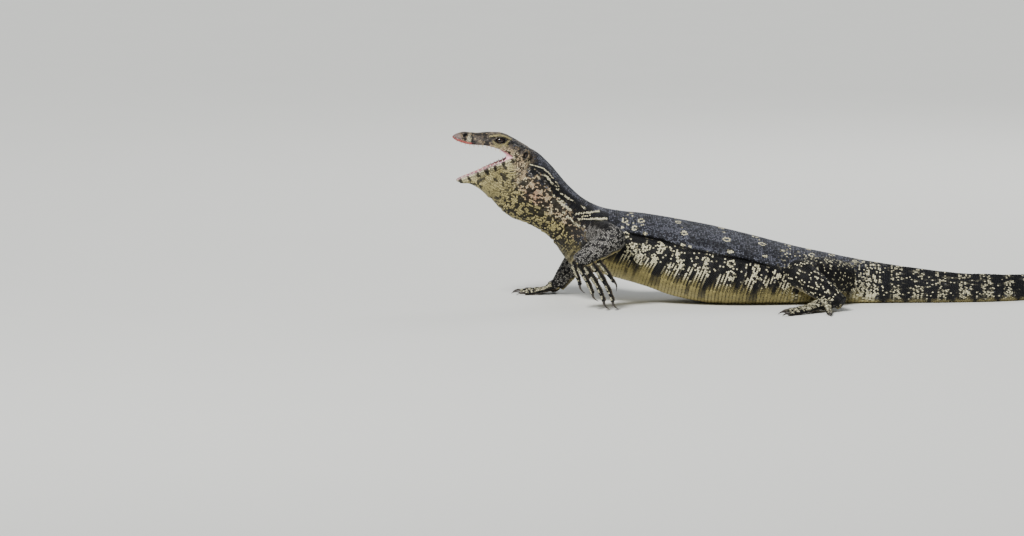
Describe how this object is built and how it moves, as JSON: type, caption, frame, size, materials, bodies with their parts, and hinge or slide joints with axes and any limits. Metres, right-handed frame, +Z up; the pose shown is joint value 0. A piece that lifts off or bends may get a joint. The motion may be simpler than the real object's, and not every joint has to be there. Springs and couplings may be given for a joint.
{
  "type": "water monitor lizard",
  "caption": "Life-size water monitor lizard in a low walking stance: head raised with the mouth open, sprawling clawed legs, and a long tapering tail that curves along the floor.",
  "frame": {"origin": "on the floor under the middle of the bounding box", "axes": "+X runs from the head towards the tail, +Y to the animal's right side, +Z up"},
  "size_m": [1.591, 0.4532, 0.2736],
  "materials": {
    "skin": "beaded scales, charcoal with cream rings and speckles",
    "jaw_skin": "cream-yellow scales with dark bars and mottling",
    "eye": "wet gloss, dark brown iris",
    "tongue": "moist, pinkish",
    "claw": "smooth dark horn"
  },
  "bodies": {
    "root": {"head": "skin", "left_eye": "eye", "left_foot": "skin", "left_foot_claw_1": "claw", "left_foot_claw_2": "claw", "left_foot_claw_3": "claw", "left_foot_claw_4": "claw", "left_foot_claw_5": "claw", "left_forearm": "skin", "left_hand": "skin", "left_hand_claw_1": "claw", "left_hand_claw_2": "claw", "left_hand_claw_3": "claw", "left_hand_claw_4": "claw", "left_hand_claw_5": "claw", "left_shank": "skin", "left_thigh": "skin", "left_upper_arm": "skin", "lower_jaw": "jaw_skin", "neck": "skin", "right_eye": "eye", "right_foot": "skin", "right_foot_claw_1": "claw", "right_foot_claw_2": "claw", "right_foot_claw_3": "claw", "right_foot_claw_4": "claw", "right_foot_claw_5": "claw", "right_forearm": "skin", "right_hand": "skin", "right_hand_claw_1": "claw", "right_hand_claw_2": "claw", "right_hand_claw_3": "claw", "right_hand_claw_4": "claw", "right_hand_claw_5": "claw", "right_shank": "skin", "right_thigh": "skin", "right_upper_arm": "skin", "tail_1": "skin", "tail_2": "skin", "tail_3": "skin", "tail_4": "skin", "tongue": "tongue", "torso_front": "skin", "torso_rear": "skin"}
  },
  "joints": []
}
